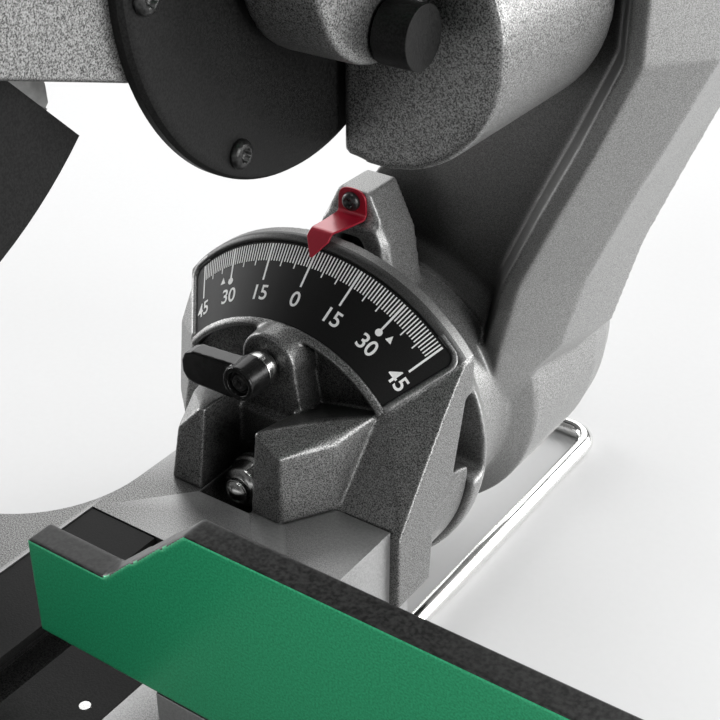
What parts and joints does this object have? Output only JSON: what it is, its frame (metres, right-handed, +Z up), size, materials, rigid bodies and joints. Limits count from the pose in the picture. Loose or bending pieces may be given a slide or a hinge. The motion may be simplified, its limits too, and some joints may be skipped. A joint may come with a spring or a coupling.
{
  "type": "sliding mitre saw",
  "caption": "Sliding compound mitre saw with a turntable, sliding fences, a rear bevel pivot with a conical scale and red pointer, slide rails and a sprung saw head.",
  "frame": {"origin": "centre of the four bench bolts in the plane of the feet, on the mitre axis", "axes": "+Z up along the mitre axis, -Y towards the operator, +X to the operator's right"},
  "size_m": [0.53, 0.971, 0.6008],
  "materials": {
    "casting": "grainy gunmetal paint on cast aluminium",
    "black_plastic": "matt black",
    "gloss_black": "gloss black",
    "label": "black label with white ticks",
    "steel": "zinc plated",
    "rail": "ground and plated",
    "green_fence": "green metallic paint",
    "green_motor": "green",
    "red": "red enamel",
    "blade": "ground",
    "belt": "matt"
  },
  "bodies": {
    "base": {"base_frame": "casting", "mitre_scale_plate": "steel", "rear_stand_bar": "steel", "turntable_pivot_bolt": "steel", "fence_right": "casting", "fence_left": "casting", "fence_bolts": "steel"},
    "right_fence": {"upper_fence_right": "green_fence"},
    "left_fence": {"upper_fence_left": "green_fence"},
    "right_knob": {"fence_knob_right": "black_plastic"},
    "left_knob": {"fence_knob_left": "black_plastic"},
    "table": {"turntable": "casting", "kerf_inserts": "black_plastic", "insert_screws": "steel", "mitre_pointer": "red", "detent_pivot_pin": "steel", "bevel_housing": "casting", "bevel_scale": "label", "bevel_pivot_shaft": "steel", "bevel_pivot_nut": "steel"},
    "mitre_lock": {"mitre_lock_handle": "black_plastic"},
    "detent": {"mitre_detent_lever": "black_plastic"},
    "bevel_stop": {"stop_pin": "steel", "stop_lever": "gloss_black", "stop_lever_screw": "steel"},
    "arm": {"bevel_arm": "casting", "bevel_pointer": "red", "pointer_screw": "steel", "rail_bushings": "black_plastic"},
    "bevel_clamp": {"bevel_clamp_lever": "black_plastic"},
    "slide_lock": {"slide_lock_knob": "black_plastic"},
    "slide": {"slide_rails": "rail", "rail_end_plate": "black_plastic", "slide_bracket": "casting", "chop_pivot_pin": "steel", "chop_spring": "steel"},
    "head_lock": {"head_lock_pin": "black_plastic"},
    "head": {"gear_case": "casting", "hinge_cover": "black_plastic", "hinge_cover_screws": "steel", "upper_guard": "casting", "belt_cover": "black_plastic", "drive_belt": "belt", "motor_housing": "green_motor", "motor_end_cover": "black_plastic", "dust_chute": "black_plastic", "carry_handle": "black_plastic", "main_handle": "black_plastic", "trigger_pin": "steel", "spindle_bearings": "steel"},
    "blade": {"saw_blade": "blade", "blade_flanges": "steel", "arbor_bolt": "steel", "spindle": "steel"},
    "rotor": {"motor_rotor": "steel"},
    "guard": {"lower_guard": "black_plastic"},
    "trigger": {"trigger": "black_plastic"},
    "lock_off": {"lock_off_button": "black_plastic"},
    "spindle_lock": {"spindle_lock_button": "black_plastic"},
    "battery_pack": {"battery": "black_plastic"}
  },
  "joints": [
    {"name": "mitre", "type": "hinge", "parent": "base", "child": "table", "pos_m": [0, 0, 0], "axis": [0, 0, 1], "range_deg": [-45, 45]},
    {"name": "right_fence_slide", "type": "slide", "parent": "base", "child": "right_fence", "axis": [1, 0, 0], "range_m": [0, 0.1]},
    {"name": "left_fence_slide", "type": "slide", "parent": "base", "child": "left_fence", "axis": [-1, 0, 0], "range_m": [0, 0.1]},
    {"name": "right_knob_turn", "type": "hinge", "parent": "base", "child": "right_knob", "pos_m": [0.192, 0.04, 0.128], "axis": [0, 1, 0], "range_deg": [0, 180]},
    {"name": "left_knob_turn", "type": "hinge", "parent": "base", "child": "left_knob", "pos_m": [-0.192, 0.04, 0.128], "axis": [0, 1, 0], "range_deg": [0, 180]},
    {"name": "mitre_lock_turn", "type": "hinge", "parent": "table", "child": "mitre_lock", "pos_m": [0, -0.335, 0.074], "axis": [0, 1, 0], "range_deg": [0, 180]},
    {"name": "detent_lift", "type": "hinge", "parent": "table", "child": "detent", "pos_m": [0, -0.313, 0.058], "axis": [-1, 0, 0], "range_deg": [0, 8], "stiffness_Nm_per_rad": 1, "springref_deg": -11.46},
    {"name": "bevel_stop_turn", "type": "hinge", "parent": "table", "child": "bevel_stop", "pos_m": [0, 0.12, 0.1435], "axis": [0, 1, 0], "range_deg": [0, 180]},
    {"name": "bevel", "type": "hinge", "parent": "table", "child": "arm", "pos_m": [0, 0.156, 0.1], "axis": [0, -1, 0], "range_deg": [-45, 45]},
    {"name": "bevel_clamp_turn", "type": "hinge", "parent": "table", "child": "bevel_clamp", "pos_m": [0, 0.31, 0.1], "axis": [0, 1, 0], "range_deg": [0, 60]},
    {"name": "slide_lock_turn", "type": "hinge", "parent": "arm", "child": "slide_lock", "pos_m": [0.115, 0.256, 0.36], "axis": [1, 0, 0], "range_deg": [0, 180]},
    {"name": "head_slide", "type": "slide", "parent": "arm", "child": "slide", "axis": [0, 1, 0], "range_m": [-0.22, 0]},
    {"name": "head_lock_pull", "type": "slide", "parent": "slide", "child": "head_lock", "axis": [1, 0, 0], "range_m": [0, 0.008]},
    {"name": "chop", "type": "hinge", "parent": "slide", "child": "head", "pos_m": [0, 0.105, 0.301], "axis": [1, 0, 0], "range_deg": [0, 50], "stiffness_Nm_per_rad": 6, "springref_deg": -85.94},
    {"name": "blade_spin", "type": "hinge", "parent": "head", "child": "blade", "pos_m": [0, -0.05369, 0.35321], "axis": [1, 0, 0], "continuous": true},
    {"name": "rotor_spin", "type": "hinge", "parent": "head", "child": "rotor", "pos_m": [0.09, 0.03028, 0.43672], "axis": [1, 0, 0], "continuous": true},
    {"name": "guard_lift", "type": "hinge", "parent": "head", "child": "guard", "pos_m": [0, -0.05369, 0.35321], "axis": [1, 0, 0], "range_deg": [0, 150]},
    {"name": "trigger_pull", "type": "hinge", "parent": "head", "child": "trigger", "pos_m": [0, -0.12077, 0.57628], "axis": [1, 0, 0], "range_deg": [0, 8], "stiffness_Nm_per_rad": 0.3, "springref_deg": -17.19},
    {"name": "lock_off_press", "type": "slide", "parent": "head", "child": "lock_off", "axis": [-1, 0, 0], "range_m": [0, 0.004], "stiffness_N_per_m": 400, "springref_m": -0.004},
    {"name": "spindle_lock_press", "type": "slide", "parent": "head", "child": "spindle_lock", "axis": [-1, 0, 0], "range_m": [0, 0.003], "stiffness_N_per_m": 400, "springref_m": -0.004},
    {"name": "battery_slide", "type": "slide", "parent": "head", "child": "battery_pack", "axis": [1, 0, 0], "range_m": [0, 0.085]}
  ],
  "couplings": [
    {"joint": "guard_lift", "follows": "chop", "ratio": 3},
    {"joint": "rotor_spin", "follows": "blade_spin", "ratio": 1.5}
  ]
}
